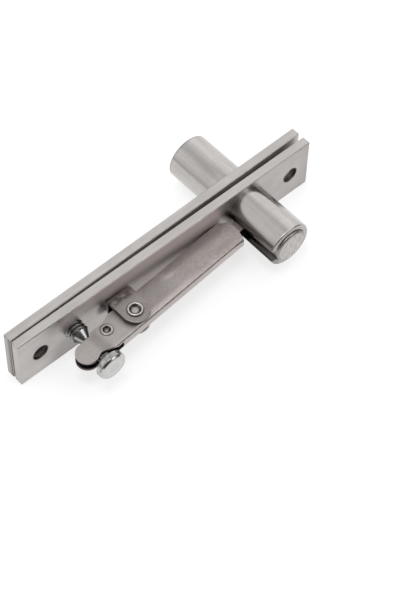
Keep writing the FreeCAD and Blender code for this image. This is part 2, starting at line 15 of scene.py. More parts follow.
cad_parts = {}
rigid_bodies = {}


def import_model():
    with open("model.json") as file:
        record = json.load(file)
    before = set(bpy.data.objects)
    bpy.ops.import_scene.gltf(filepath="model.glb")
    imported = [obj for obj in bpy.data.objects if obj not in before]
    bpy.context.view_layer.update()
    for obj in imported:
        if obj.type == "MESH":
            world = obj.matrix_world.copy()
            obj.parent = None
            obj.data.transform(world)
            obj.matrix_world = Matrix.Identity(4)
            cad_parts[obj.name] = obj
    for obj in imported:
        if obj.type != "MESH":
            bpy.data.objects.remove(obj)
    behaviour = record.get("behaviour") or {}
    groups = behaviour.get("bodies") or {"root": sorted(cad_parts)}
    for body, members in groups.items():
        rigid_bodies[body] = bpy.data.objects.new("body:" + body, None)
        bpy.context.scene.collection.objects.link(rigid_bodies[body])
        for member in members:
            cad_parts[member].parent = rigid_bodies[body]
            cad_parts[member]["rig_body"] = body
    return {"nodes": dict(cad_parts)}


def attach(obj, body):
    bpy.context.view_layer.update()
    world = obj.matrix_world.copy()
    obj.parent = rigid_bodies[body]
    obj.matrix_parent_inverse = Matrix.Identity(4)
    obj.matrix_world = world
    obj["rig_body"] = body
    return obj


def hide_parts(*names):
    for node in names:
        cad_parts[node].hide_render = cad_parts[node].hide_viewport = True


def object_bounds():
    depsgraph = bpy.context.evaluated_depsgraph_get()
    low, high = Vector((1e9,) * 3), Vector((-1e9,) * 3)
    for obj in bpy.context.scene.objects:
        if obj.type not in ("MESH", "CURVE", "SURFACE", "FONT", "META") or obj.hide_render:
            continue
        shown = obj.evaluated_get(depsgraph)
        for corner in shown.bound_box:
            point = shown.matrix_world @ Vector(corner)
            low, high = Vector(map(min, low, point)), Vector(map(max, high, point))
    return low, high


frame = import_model()
cad_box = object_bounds()
scene = bpy.context.scene
MM = 0.001
print("nodes:", sorted(frame["nodes"]))

# %% [markdown]
# ## Steel as arithmetic
# All ten pieces are stainless steel, yet each was worked in its own way: the bars are brushed lengthwise,
# the barrels are turned, the lever is pressed from sheet. Such finishes are patterns of fine lines, so
# they are sums and products of noise. The nodes could be placed by hand in the editor, but a small class
# that lets a socket take part in Python arithmetic keeps each finish as short as a formula.


# %% A socket that can be added and multiplied
class Signal:
    """One output socket of a node tree, with arithmetic."""

    def __init__(self, tree, socket):
        self.tree = tree
        self.socket = socket

    def node(self, kind, settings=None, inputs=None, output=0):
        """Adds a node: its settings first, then the values or links of its sockets."""
        added = self.tree.nodes.new(kind)
        for name, value in (settings or {}).items():
            setattr(added, name, value)
        for name, value in (inputs or {}).items():
            if isinstance(value, Signal):
                self.tree.links.new(value.socket, added.inputs[name])
            else:
                added.inputs[name].default_value = value
        return Signal(self.tree, added.outputs[output])

    def feed(self, shader, name):
        """Links this signal to a socket of the shader."""
        self.tree.links.new(self.socket, shader.inputs[name])

    def math(self, operation, *values):
        return self.node("ShaderNodeMath", {"operation": operation}, dict(enumerate(values)))

    def __add__(self, other):
        return self.math("ADD", self, other)

    __radd__ = __add__

    def __sub__(self, other):
        return self.math("SUBTRACT", self, other)

    def __rsub__(self, other):
        return self.math("SUBTRACT", other, self)

    def __mul__(self, other):
        return self.math("MULTIPLY", self, other)

    __rmul__ = __mul__

    def __abs__(self):
        return self.math("ABSOLUTE", self)

    def root(self):
        return self.math("SQRT", self)

    def most(self, *others):
        """The greatest of this signal and the others."""
        greatest = self
        for other in others:
            greatest = self.math("MAXIMUM", greatest, other)
        return greatest

    def axes(self):
        """The three numbers of this vector."""
        parts = self.node("ShaderNodeSeparateXYZ", {}, {"Vector": self}).socket.node
        return [Signal(self.tree, output) for output in parts.outputs]

    def step(self, low, high):
        """0 below low, 1 above high, and a smooth climb between."""
        settings = {"interpolation_type": "SMOOTHSTEP"}
        return self.node("ShaderNodeMapRange", settings, {"Value": self, "From Min": low, "From Max": high})

    def fade(self, low, high):
        """1 below low, 0 above high, and a smooth fall between."""
        return 1 - self.step(low, high)

    def within(self, start, full, ebb, end):
        """0 outside start and end, 1 from full to ebb, with a smooth climb and fall."""
        return self.step(start, full) * self.fade(ebb, end)

    def mix(self, first, second):
        """The colour first where this signal is 0 and second where it is 1."""
        settings = {"data_type": "RGBA", "blend_type": "MIX"}
        return self.node("ShaderNodeMix", settings, {0: self, 6: first, 7: second}, 2)

    def noise(self, scale, detail=2.0, rough=0.5):
        """Noise of this vector stretched by scale, a number for each axis."""
        vector = self.node("ShaderNodeVectorMath", {"operation": "MULTIPLY"}, {0: self, 1: scale})
        values = {"Vector": vector, "Scale": 1.0, "Detail": detail, "Roughness": rough}
        return self.node("ShaderNodeTexNoise", {}, values)

    def seen_from(self, place, turn_deg=0.0):
        """This vector about another centre, in millimetres, after a turn about Z."""
        values = {"Vector": self, "Location": place, "Rotation": (0, 0, math.radians(turn_deg))}
        return self.node("ShaderNodeMapping", {"vector_type": "TEXTURE"}, values)


def length_of(first, second):
    """The length of a flat vector with these two parts."""
    return (first * first + second * second).root()


print("a Signal can be added, multiplied, stepped, faded and mixed")

# %% [markdown]
# ## What all the steels share
# Every finish reads its object's own coordinates, in millimetres, so a pattern stays on its piece when
# the hinge moves. Each ends in the same way, with a colour, a roughness and a bump as deep as the marks
# of a tool. One function starts a steel and one finishes it, which leaves only the patterns between them
# to be written.

# %% Start and finish a steel
STEELS = {}


def grey(level, warmth=0.05):
    """A steel colour of a given level, with a little more red and less blue than grey."""
    return (level * (1 + warmth), level, level * (1 - min(warmth, 0.035)), 1)


def start_steel(name):
    """A material with its shader and the object's coordinates in millimetres."""
    material = bpy.data.materials.new(name)
    material.use_nodes = True
    tree = material.node_tree
    shader = tree.nodes["Principled BSDF"]
    shader.inputs["Metallic"].default_value = 1.0
    place = Signal(tree, tree.nodes.new("ShaderNodeTexCoord").outputs["Object"])
    millimetres = place.node("ShaderNodeVectorMath", {"operation": "SCALE"}, {0: place, "Scale": 1 / MM})
    return material, shader, millimetres


def finish_steel(shader, colour, roughness, height, depth_mm):
    """Feeds the shader: colour, roughness and a bump as deep as the tool marks."""
    colour.feed(shader, "Base Color")
    roughness.feed(shader, "Roughness")
    bump = height.node("ShaderNodeBump", {}, {"Strength": 1.0, "Distance": depth_mm * MM, "Height": height})
    bump.feed(shader, "Normal")


print("steels so far:", len(STEELS))

# %% [markdown]
# ## Brushed bar
# The two plates are cut from drawn flat bar and brushed along their length. Long thin streaks come from
# noise that is stretched along X, and a slow, larger noise leaves the faint marks of handling. The narrow
# sides and the sawn ends were ground separately. Painted shade darkens the walls and rims of the fixing
# holes and the sawn ends beside the gap, the broken edges get a painted highlight and more roughness, and
# the faces in the gap were left rough. An image could carry all of this, but noise and distances have no
# seams and stay sharp at any size.

# %% Marks, painted shade and painted edge highlights of a bar
PLATE = 3.5
BAR_MIDDLE = -35.2
BAR_HALF_LENGTH = 65.0
BAR_HALF_WIDTH = 11.0
EDGE_BREAK = 0.3
HOLE_FROM_MIDDLE = 56.2
HOLE_RADIUS = 3.0
FACE_TONES = (grey(0.425, 0.06), grey(0.54, 0.045))
GROUND_TONES = (grey(0.45), grey(0.53, 0.04))
# The colour of the painted highlight on the broken edges.
EDGE_HIGHLIGHT_STEEL = grey(0.8, 0.04)
# The colour of painted shade in the fixing holes and on the sawn ends beside the gap.
BAR_SHADE = grey(0.1, 0.15)
# The colour of painted shade on the front bar.
PLATE_SHADE = grey(0.05, 0.25)


def bar_marks(at):
    """The lines of the brush along the bar, and the slow clouds of handling."""
    streak = at.noise((0.035, 2.6, 2.6), 3.0, 0.6)
    hair = at.noise((0.25, 9.0, 9.0), 2.0, 0.6)
    brush = at.noise((0.15, 1.3, 1.3), 3.0, 0.6)
    cloud = at.noise((0.06, 0.09, 0.09), 3.0, 0.55)
    return 0.4 * streak + 0.25 * hair + 0.35 * brush, cloud


def outer_skin(half_size):
    """Where a side of the bar begins, for a bar of this half length or half width."""
    return half_size - EDGE_BREAK, half_size - 0.05


def shade_in_holes(from_axis, y, shaded_from):
    """Painted shade on the wall of a fixing hole from a depth on, and a painted dark line round its rim."""
    wall = from_axis.fade(HOLE_RADIUS, HOLE_RADIUS + 0.1) * y.step(shaded_from + 0.15, shaded_from + 0.5)
    rim = from_axis.within(HOLE_RADIUS - 0.1, HOLE_RADIUS, HOLE_RADIUS + 0.2, HOLE_RADIUS + 0.4)
    return (0.35 * wall).most(0.7 * rim)


def edge_highlights(x, height, from_gap):
    """Painted highlight on the broken edges by the gap, and less on the outer ones near the bar's ends."""
    near_ends = x.step(4.0, 10.0).most(x.fade(-98.0, -92.0))
    inner = from_gap.fade(EDGE_BREAK, EDGE_BREAK + 0.1)
    outer = 0.6 * from_gap.step(PLATE - EDGE_BREAK - 0.1, PLATE - EDGE_BREAK) * near_ends
    slope = height.within(*(BAR_HALF_WIDTH - inset for inset in (0.4, 0.28, 0.07, 0.02)))
    return inner.most(outer) * slope


print("bar:", 2 * BAR_HALF_LENGTH, "x", 2 * BAR_HALF_WIDTH, "x", PLATE, "mm")


# %% The brushed finish
def brushed_bar(name, gap_y, lean_deg, sawn_level, gap_shade, gap_shade_mm, shaded_from, painted_light=None):
    """Bar steel. Its face in the gap is at gap_y, and its holes hold painted shade from a given depth on."""
    material, shader, at = start_steel(name)
    x, y, z = at.axes()
    height = abs(z)
    from_gap = abs(at.seen_from((0, gap_y, 0), lean_deg).axes()[1])
    from_middle = abs(x - BAR_MIDDLE)
    lines, cloud = bar_marks(at)
    tone = (0.6 * lines + 0.4 * cloud).step(0.39, 0.61)
    sawn = (BAR_MIDDLE - x).step(*outer_skin(BAR_HALF_LENGTH))
    ground = sawn.mix(tone.mix(*GROUND_TONES), grey(sawn_level, 0.04))
    end = from_middle.step(*outer_skin(BAR_HALF_LENGTH))
    narrow = height.step(*outer_skin(BAR_HALF_WIDTH)).most(end)
    colour = narrow.mix(tone.mix(*FACE_TONES), ground)
    # Painted shade in the fixing holes and on the sawn end beside the gap.
    hole_and_gap_shade = shade_in_holes(length_of(from_middle - HOLE_FROM_MIDDLE, z), y, shaded_from)
    hole_and_gap_shade = hole_and_gap_shade.most(gap_shade * sawn * from_gap.fade(*gap_shade_mm))
    colour = hole_and_gap_shade.mix(colour, BAR_SHADE)
    # A painted highlight, with more roughness, on the broken edges.
    edge_highlight = edge_highlights(x, height, from_gap)
    colour = (0.8 * edge_highlight).mix(colour, EDGE_HIGHLIGHT_STEEL)
    in_gap = from_gap.fade(0.02, 0.06) * x.fade(16.0, 27.0)
    roughness = 0.25 + 0.14 * lines + 0.1 * cloud + 0.35 * edge_highlight.most(in_gap)
    # Painted reflection as a coat that also lowers Metallic, and painted shade, where given.
    if painted_light is not None:
        reflection_coat, painted_reflection, painted_shade = painted_light(at)
        colour = painted_shade.mix(reflection_coat.mix(colour, painted_reflection), PLATE_SHADE)
        (1 - reflection_coat).feed(shader, "Metallic")
    finish_steel(shader, colour, roughness, lines, depth_mm=0.006)
    return material


print("brushed_bar makes the steel of a plate")

# %% [markdown]
# ## Painted reflection and shade on the front bar
# Behind and above the lever and round the screw's thread, the first plate gets a painted reflection: a
# pale brown coat mixed into its colour, and Metallic falls by as much. Painted shade, nearly black, lies
# at the bracket's foot, under the lever's nose, along the low edge and at the right end. Painting a mask
# would need UV maps, while places in millimetres can be moved by changing one number.

# %% Painted reflection and shade on the first bar
SCREW_X = -77.2
THREAD_REFLECTION_PATCH = (SCREW_X - 2.0, 7.0)
NOSE_SHADE_SPOT = (-81.5, -7.5)
BRACKET_FOOT = (-64.2, 0.3)
REFLECTION_TONES = (grey(0.6, 0.17), grey(0.865, 0.15))


def painted_light_on_plate(at):
    """The painted reflection coat on the front face, its colour, and the painted shade."""
    x, y, z = at.axes()

    def spot(centre, inner, outer):
        return length_of(x - centre[0], z - centre[1]).fade(inner, outer)

    # Painted reflection behind and above the lever and round the thread.
    behind_lever = (0.58 + 0.2 * z.step(1.0, 6.0)) * x.within(-60.0, -52.0, -26.0, -14.0)
    above_lever = 0.82 * x.within(-84.0, -70.0, -18.0, -4.0) * z.step(2.5, 6.5)
    reflection_coat = (0.84 * spot(THREAD_REFLECTION_PATCH, 2.0, 6.5)).most(behind_lever, above_lever)
    painted_reflection = z.step(3.5, 7.5).mix(*REFLECTION_TONES)
    # Painted shade at the right end, along the low edge, under the nose and at the bracket's foot.
    right_end_shade = 0.1 * x.step(4.0, 9.0) + 0.15 * x.step(22.0, 29.0)
    low_edge = 0.35 * z.fade(-9.5, -7.5) * x.within(-90.0, -84.0, -62.0, -54.0)
    under_nose = 0.33 * spot(NOSE_SHADE_SPOT, 2.5, 8.5)
    painted_shade = (0.8 * spot(BRACKET_FOOT, 1.8, 4.2)).most(right_end_shade, under_nose, low_edge)
    front = y.fade(0.1, 0.3)
    return reflection_coat * front, painted_reflection, painted_shade * front


print("painted_spots at", THREAD_REFLECTION_PATCH, NOSE_SHADE_SPOT, BRACKET_FOOT)

# %% Make the bars' steels
LEAN_DEG = 0.6
GAP_AT_END = 0.5
SOCKET_Y = PLATE + GAP_AT_END + (BAR_HALF_LENGTH - BAR_MIDDLE) * math.tan(math.radians(LEAN_DEG))
STEELS["pin_bar"] = brushed_bar(
    "brushed_pin_bar", gap_y=PLATE, lean_deg=0.0, sawn_level=0.46, gap_shade=0.65, gap_shade_mm=(0.2, 1.1),
    shaded_from=0.0, painted_light=painted_light_on_plate,
)
# The socket bar's sawn end is painted darker than the pin bar's, as painted shade.
STEELS["socket_bar"] = brushed_bar(
    "brushed_socket_bar", gap_y=SOCKET_Y, lean_deg=LEAN_DEG, sawn_level=0.37, gap_shade=0.85,
    gap_shade_mm=(0.4, 1.9), shaded_from=SOCKET_Y - 1.0,
)
print("steels:", list(STEELS))

# %% [markdown]
# ## Turned steel
# Barrel, socket, pin and screw come off a lathe, so their marks run round the axis: along the side they
# depend only on the distance along the axis, and on the end faces only on the radius. One noise of those
# two numbers serves both. Polishing afterwards leaves faint streaks along the axis. The pin's end was
# ground instead, so its lines are parallel. A Wave texture gives rings too, but even ones, and polishing
# leaves them uneven.

# %% The turned finish
BEYOND = 40.0  # an end here lies outside the piece, which then has no end face on that side
# The colour of painted shade on the turned parts.
LATHE_SHADE = grey(0.045, 0.2)


def turned_steel(name, tones, base_roughness, ends, place=(0, 0, 0), lean_deg=0.0, painted_shade=None, dull=None,
                 ground_end=False):
    """Steel with its marks round the Y axis through place, between two end faces."""
    material, shader, at = start_steel(name)
    local = at.seen_from(place, lean_deg)
    x, y, z = local.axes()
    radius = length_of(x, z)
    ring = local.node("ShaderNodeCombineXYZ", {}, {"X": y, "Y": radius})
    cut = ring.noise((7.0, 7.0, 1.0), 3.0, 0.65)
    feed = ring.noise((1.1, 1.1, 1.0), 2.0, 0.5)
    side = y.within(ends[0] + 0.03, ends[0] + 0.1, ends[1] - 0.1, ends[1] - 0.03)
    scuff = side * local.noise((0.5, 0.06, 0.5), 2.0, 0.5) + (1 - side) * feed
    if ground_end:
        lines = local.noise((1.7, 0.0, 0.3), 3.0, 0.65)
        cut = cut + (1 - side) * (lines - cut)
        scuff = scuff + (1 - side) * (lines - scuff)
    tone = (0.25 * cut + 0.15 * feed + 0.6 * scuff).step(0.34, 0.66)
    colour = tone.mix(*tones)
    roughness = base_roughness + 0.06 * cut + 0.08 * scuff + 0.08 * (1 - side)
    if dull is not None:
        roughness = roughness + dull(y)
    # Painted shade, where a mask is given.
    if painted_shade is not None:
        colour = painted_shade(local, radius).mix(colour, LATHE_SHADE)
    finish_steel(shader, colour, roughness, 0.5 * cut + 0.2 * feed + 0.3 * scuff, depth_mm=0.002)
    return material


def dull_rim(end, amount):
    """Gives the roughness that an end face and the rim beside it have on top of the side's."""
    return lambda y: amount * y.fade(end + 0.6, end + 0.8)


print("turned_steel makes the steel of a piece from the lathe")

# %% [markdown]
# ## Painted shade on the turned parts
# Beside the barrel's slot, on its lips, at its root and in its bore the colour is darkened with painted
# shade and painted reflection. The mouth and the pin's rim are dulled by use. The socket's closed end gets
# painted shade round its turned edge and underneath. Each mask is a product of steps along two or three
# axes.

# %% Make the barrel's and the socket's steels
BORE_RADIUS = 6.5
BARREL_MOUTH = -22.0
SOCKET_END = 25.5


def beside_the_slot(local, radius):
    """Painted shade and painted reflection beside the slot, on its lips, at its root and in its bore."""
    x, y, z = local.axes()
    painted_reflection = 0.35 * x.fade(-8.0, -6.4) * abs(z).fade(3.6, 6.2)
    root = 0.5 * x.step(4.4, 5.4) * y.step(-13.0, -9.5) * z.step(0.0, 3.0)
    upper_lip = 0.65 * x.fade(-8.1, -7.7) * y.fade(-14.0, -11.0)
    lower_lip = (0.4 + 0.4 * y.step(-21.5, -16.0)) * z.fade(-2.6, -2.2) * x.fade(-6.0, -3.5)
    bore = 0.85 * radius.fade(BORE_RADIUS, BORE_RADIUS + 0.1)
    return painted_reflection.most(root, upper_lip, lower_lip, bore)


def round_the_end(local, radius):
    """Painted shade round the turned edge of the socket's closed end and on its underside."""
    _, y, z = local.axes()
    edge = y.step(SOCKET_END - 1.0, SOCKET_END - 0.4) * radius.step(7.6, 8.0)
    underside = z.fade(-6.5, -2.5) * radius.step(7.9, 8.3)
    return (0.35 * edge).most(0.22 * underside)


barrel_tones = (grey(0.43), grey(0.52))
STEELS["barrel"] = turned_steel(
    "turned_barrel", barrel_tones, 0.13, (BARREL_MOUTH, BEYOND), painted_shade=beside_the_slot,
    dull=dull_rim(BARREL_MOUTH, 0.15),
)
STEELS["socket"] = turned_steel(
    "turned_socket", barrel_tones, 0.15, (-BEYOND, SOCKET_END), (0, SOCKET_Y, 0), LEAN_DEG,
    painted_shade=round_the_end,
)
print("steels:", list(STEELS))

# %% Make the pin's and the screw's steels
PIN_RADIUS = 6.45
PIN_END = -22.95
PIN_FOOT = 11.03
THREAD_ROOT = 2.95
THREAD_CREST = 3.6
CONE_BASE = -3.6
CONE_TIP = -6.9
BUTTON_BACK = -17.47
BUTTON_END = -20.37
BUTTON_RADIUS = 5.3


def in_the_slot(local, radius):
    """Painted shade on the pin's side and along its chamfer, but not on its end face."""
    y = local.axes()[1]
    side = radius.step(PIN_RADIUS - 0.25, PIN_RADIUS - 0.05) * y.step(PIN_END + 0.65, PIN_END + 1.05)
    chamfer = radius.step(PIN_RADIUS - 0.9, PIN_RADIUS - 0.6) * y.fade(PIN_END + 0.45, PIN_END + 0.65)
    return (0.45 * side).most(0.4 * chamfer)


def on_the_cone(y):
    """1 on the screw's cone."""
    return y.within(CONE_TIP - 0.1, CONE_TIP, CONE_BASE, CONE_BASE + 0.1)


def on_the_screw(local, radius):
    """Painted shade in the grooves, over the neck and collar, low on the cone and thinly on the button's
    side.
    """
    x, y, z = local.axes()
    groove = 0.55 * radius.fade(THREAD_CREST - 0.22, THREAD_CREST + 0.1) * y.step(CONE_BASE, CONE_BASE + 0.1)
    neck = 0.8 * y.within(BUTTON_BACK - 0.13, BUTTON_BACK + 0.07, CONE_TIP - 0.3, CONE_TIP + 0.1)
    patchy = local.noise((0.4, 0.5, 0.4), 2.0, 0.5).step(0.4, 0.6)
    side = radius.step(BUTTON_RADIUS - 0.35, BUTTON_RADIUS - 0.1) * (0.05 + 0.4 * patchy)
    low_side = (0 - x - z).step(0.8, 2.2)
    cone = on_the_cone(y) * (0.12 * patchy + 0.85 * low_side)
    return groove.most(neck, side, cone)


def dull_cone(y):
    """The cone is dulled by the lever's cheeks."""
    return 0.03 * on_the_cone(y)


pin_tones = (grey(0.38), grey(0.6))
screw_tones = (grey(0.49, 0.01), grey(0.62, 0.01))
STEELS["pin"] = turned_steel(
    "ground_pin", pin_tones, 0.2, (PIN_END, PIN_FOOT), painted_shade=in_the_slot, dull=dull_rim(PIN_END, 0.1),
    ground_end=True,
)
STEELS["screw"] = turned_steel(
    "turned_screw", screw_tones, 0.18, (BUTTON_END, BEYOND), (SCREW_X, 0, 0), painted_shade=on_the_screw,
    dull=dull_cone,
)
print("steels:", list(STEELS))

# %% [markdown]
# ## Bright rivets
# The rivets stand upright, so their marks run round a vertical axis. Each end is a rolled rim round a
# small funnel. Painted shade darkens the funnel's wall, the eye in the middle and a line round the rim's
# outer edge, and the eye is rougher. All of these depend on the radius alone, so the same noise of height
# and radius and a few steps make them.

# %% Make the rivets' steels
PIVOT = (-58.7, -9.4, 0)
TILT_DEG = 4.35
SPACER_OFFSET = (-11.5, 1.75)
RIVET_RIM = 2.8
SPACER_RIM = 2.3
# Colours of painted shade in the eye, the funnel and round the rim.
EYE_SHADE = grey(0.22, 0.1)
RIVET_SHADE = grey(0.045, 0.3)
cosine = math.cos(math.radians(TILT_DEG))
sine = math.sin(math.radians(TILT_DEG))
SPACER = (
    PIVOT[0] + SPACER_OFFSET[0] * cosine - SPACER_OFFSET[1] * sine,
    PIVOT[1] + SPACER_OFFSET[0] * sine + SPACER_OFFSET[1] * cosine,
    0,
)


def bright_rivet(name, centre, tones, eye_r, mouth_r, rim_r, shaded_rim):
    """Rivet steel with painted shade in a funnel from eye_r to mouth_r and over the outer edge of its rim.
    """
    material, shader, at = start_steel(name)
    local = at.seen_from(centre)
    x, y, z = local.axes()
    radius = length_of(x, y)
    ring = local.node("ShaderNodeCombineXYZ", {}, {"X": abs(z), "Y": radius})
    cut = ring.noise((6.0, 6.0, 1.0), 3.0, 0.6)
    scuff = local.noise((0.9, 0.9, 0.9), 3.0, 0.6)
    wall = radius.within(eye_r - 0.6, eye_r + 0.1, mouth_r - 0.2, mouth_r - 0.02)
    eye = radius.fade(eye_r - 0.3, eye_r + 0.1)
    outline = radius.step(rim_r - shaded_rim, rim_r - 0.06)
    colour = (0.5 * cut + 0.5 * scuff).step(0.35, 0.65).mix(*tones)
    colour = (0.45 * eye).mix(colour, EYE_SHADE)
    colour = (0.85 * wall.most(outline)).mix(colour, RIVET_SHADE)
    roughness = 0.22 + 0.12 * cut + 0.1 * scuff + 0.2 * eye
    finish_steel(shader, colour, roughness, cut, depth_mm=0.004)
    return material


rivet_tones = (grey(0.55), grey(0.68))
spacer_tones = (grey(0.36, 0.1), grey(0.45, 0.1))
STEELS["rivet"] = bright_rivet(
    "bright_rivet", PIVOT, rivet_tones, eye_r=1.35, mouth_r=2.0, rim_r=RIVET_RIM, shaded_rim=0.16,
)
STEELS["spacer"] = bright_rivet(
    "bright_spacer", SPACER, spacer_tones, eye_r=0.75, mouth_r=1.45, rim_r=SPACER_RIM, shaded_rim=0.3,
)
print("steels:", list(STEELS))

# %% [markdown]
# ## Pressed sheet
# Lever and bracket are blanked and folded from cold-rolled sheet. Its skin is dull and faintly mottled,
# with soft smudges of oil from the press. Over that come three kinds of places that are given as masks:
# painted highlights and pale smears, brown stains, and painted shade with a few dark marks.

# %% The finish of the sheet parts
# The colours of painted highlight and of painted shade on the sheet.
SHEET_HIGHLIGHT = grey(0.62, 0.07)
BROWN_STAIN = (0.105, 0.08, 0.072, 1)
SHEET_SHADE_AND_MARKS = grey(0.05, 0.3)


def pressed_sheet(name, tones, highlights, shade_and_marks, stained=None):
    """Sheet steel, with functions for its painted highlights, painted shade and marks, and stained places.
    """
    material, shader, at = start_steel(name)
    grain = at.noise((0.7, 1.0, 1.0), 4.0, 0.65)
    rolled = at.noise((0.12, 3.5, 3.5), 2.0, 0.5)
    smudge = at.noise((0.16, 0.22, 0.22), 3.0, 0.55)
    colour = (0.5 * grain + 0.15 * rolled + 0.35 * smudge).step(0.41, 0.59).mix(*tones)
    wiped = at.noise((0.1, 0.14, 0.14), 2.0, 0.5) + 0.3 * at.axes()[0].fade(-76.0, -50.0)
    pale_level = tones[1][1]
    colour = (0.6 * wiped.step(0.45, 0.7)).mix(colour, grey(pale_level * 0.95, 0.05))
    # Painted highlights and pale smears.
    colour = (0.55 * highlights(at)).mix(colour, SHEET_HIGHLIGHT)
    if stained is not None:
        colour = (0.8 * stained(at)).mix(colour, BROWN_STAIN)
    # Painted shade, with a few dark marks.
    colour = (0.85 * shade_and_marks(at)).mix(colour, SHEET_SHADE_AND_MARKS)
    roughness = 0.27 + 0.1 * grain + 0.14 * smudge
    finish_steel(shader, colour, roughness, 0.6 * grain + 0.4 * rolled, depth_mm=0.005)
    return material


print("pressed_sheet makes the steel of a folded piece")

# %% [markdown]
# ## Painted highlights and shade on the lever
# The web, the strip by the fold, the channel from the pivot on and a line along the edge by the plate get
# painted highlights, and two pale smears lie on the upper cheek. Painted shade fills the channel near the
# screw and lies on the tongue, and on the cheek beside the plate, as the ear's shadow, right of the bracket
# and in a line by the edge. A darker band crosses the cheek between the spacer and the nose, and a dark
# ring lies round the spacer. All places are counted from the pivot in the lever's own tilted axes, because
# that is how one would measure them on the lever in the hand.

# %% Make the lever's steel
UPPER_CHEEK = (1.9, 2.1)
CHANNEL_FLOOR = (-2.15, -2.0)
CHANNEL_ROOF = (1.5, 1.75)
WEB_INSIDE = (-4.9, -4.6)


def in_the_channel(y, z):
    """1 between the two cheeks."""
    return z.within(*CHANNEL_FLOOR, *CHANNEL_ROOF) * y.step(*WEB_INSIDE)


def lever_shade_and_marks(at):
    """Painted shade in the channel, on the tongue and the upper cheek; a dark band and ring by the spacer.
    """
    x, y, z = at.seen_from(PIVOT, TILT_DEG).axes()
    # Painted shade in the channel by the screw and on the tongue.
    channel = in_the_channel(y, z) * x.fade(-14.0, -8.0)
    level_x, level_y, _ = at.axes()
    tongue = 0.8 * level_x.step(-10.4, -9.9) * level_y.step(-8.4, -8.0)
    band = 0.34 * abs(x + 16.5).fade(0.6, 3.2)
    off_fold = 0.3 + 0.7 * y.step(-4.4, -2.0)
    # Painted shade on the upper cheek: right of the bracket, by the plate, the ear's shadow, a line by the
    # edge.
    along_arm = x.step(0.0, 6.0) * (0.36 - 0.22 * x.step(9.0, 20.0)) * off_fold
    by_plate = 0.38 * y.step(0.8, 4.0) * x.step(13.0, 20.0)
    from_ear = length_of(x, (0 - y).most(0.0))
    by_ear = 0.42 * from_ear.fade(5.4, 8.0) * x.fade(-3.5, -1.0)
    by_edge_glint = 0.5 * y.within(4.9, 5.2, 5.45, 5.6) * x.step(2.0, 5.0)
    by_spacer = 0.6 * length_of(x - SPACER_OFFSET[0], y - SPACER_OFFSET[1]).fade(2.3, 2.65)
    cheek = z.step(*UPPER_CHEEK) * along_arm.most(by_plate, by_ear, by_edge_glint, by_spacer)
    return channel.most(tongue, band, cheek)


def lever_highlights_and_smears(at):
    """Painted highlights on the web, the channel beyond the pivot, an edge line and the fold; and pale
    smears.
    """
    x, y, z = at.seen_from(PIVOT, TILT_DEG).axes()
    web = y.fade(-5.25, -5.05) * (0.6 + 0.4 * x.step(26.0, 38.0))
    channel = in_the_channel(y, z) * x.step(-12.0, -6.0)
    edge_glint = y.step(5.5, 5.65) * z.step(1.6, 1.9) * x.fade(18.0, 25.0)
    pale_smear = 0.9 * length_of(0.28 * (x - 18.5), 0.75 * (y - 2.4)).fade(0.2, 1.1)
    long_pale_smear = 0.4 * length_of(0.16 * (x - 41.0), 0.5 * y).fade(0.2, 1.1)
    fold = 0.8 * y.fade(-4.0, -2.2) * x.within(2.0, 5.0, 12.0, 38.0)
    cheek = z.step(*UPPER_CHEEK) * pale_smear.most(long_pale_smear, fold)
    return web.most(channel, edge_glint, cheek)


lever_tones = (grey(0.32, 0.15), grey(0.41, 0.13))
STEELS["lever"] = pressed_sheet("pressed_lever", lever_tones, lever_highlights_and_smears, lever_shade_and_marks)
print("steels:", list(STEELS))

# %% [markdown]
# ## Painted highlight, stains and shade on the bracket
# The outside of the bracket's bend gets a painted highlight. Beside the bend the sheet kept brown stains,
# broken up by a noise. Painted shade lies between the ears and on the blanked edge of the upper ear, and a
# dark ring lies round the rivet. The bracket doesn't tilt, so these places are given straight along the
# axes.

# %% Make the bracket's steel
EAR_UNDERSIDE = (3.1, 3.4)
RIVET_RING = (2.95, 3.4)


def bracket_bend_highlight(at):
    """A painted highlight on the outside of the bend."""
    return at.axes()[1].step(-1.5, -0.9)


def stained_bracket(at):
    """Brown patches beside the bend."""
    y = at.axes()[1]
    patches = at.noise((0.5, 0.5, 0.5), 2.0, 0.55).step(0.37, 0.6)
    return patches * y.within(-5.0, -3.4, -1.7, -1.0)


def bracket_shade_and_ring(at):
    """Painted shade between the ears and on the upper ear's blanked edge, and a dark ring round the rivet.
    """
    x, y, z = at.axes()
    between = z.within(-2.6, -2.3, *EAR_UNDERSIDE) * y.fade(-1.3, -1.0)
    ring = 0.5 * length_of(x - PIVOT[0], y - PIVOT[1]).fade(*RIVET_RING) * z.step(3.3, 3.5)
    return between.most(ring)


bracket_tones = (grey(0.215, 0.15), grey(0.295, 0.13))
STEELS["bracket"] = pressed_sheet(
    "pressed_bracket", bracket_tones, bracket_bend_highlight, bracket_shade_and_ring, stained_bracket,
)
print("steels:", list(STEELS))

# %% [markdown]
# ## Two ways to a smooth piece
# A CAD node is a mesh of loose triangles and shades flat. Round parts are made again by spinning half of
# their section about their axis. Flat and folded parts are exact already, so a copy is merged, its flat
# faces are joined and its sharp edges get a small round that catches the light. Every piece then rides on
# its node's body and stands for that node.

# %% Round the edges and hand a piece over
SMOOTH_ANGLE = math.radians(32)
SHARP_ANGLE = math.radians(40)


def round_edges(bm, width_mm):
    """Rounds every edge whose faces meet at more than the sharp angle."""
    inner = [edge for edge in bm.edges if len(edge.link_faces) == 2]
    sharp = [edge for edge in inner if edge.calc_face_angle() > SHARP_ANGLE]
    bmesh.ops.bevel(
        bm, geom=sharp, offset=width_mm * MM, offset_type="OFFSET", affect="EDGES", segments=2, profile=0.5,
        material=-1, clamp_overlap=True,
    )


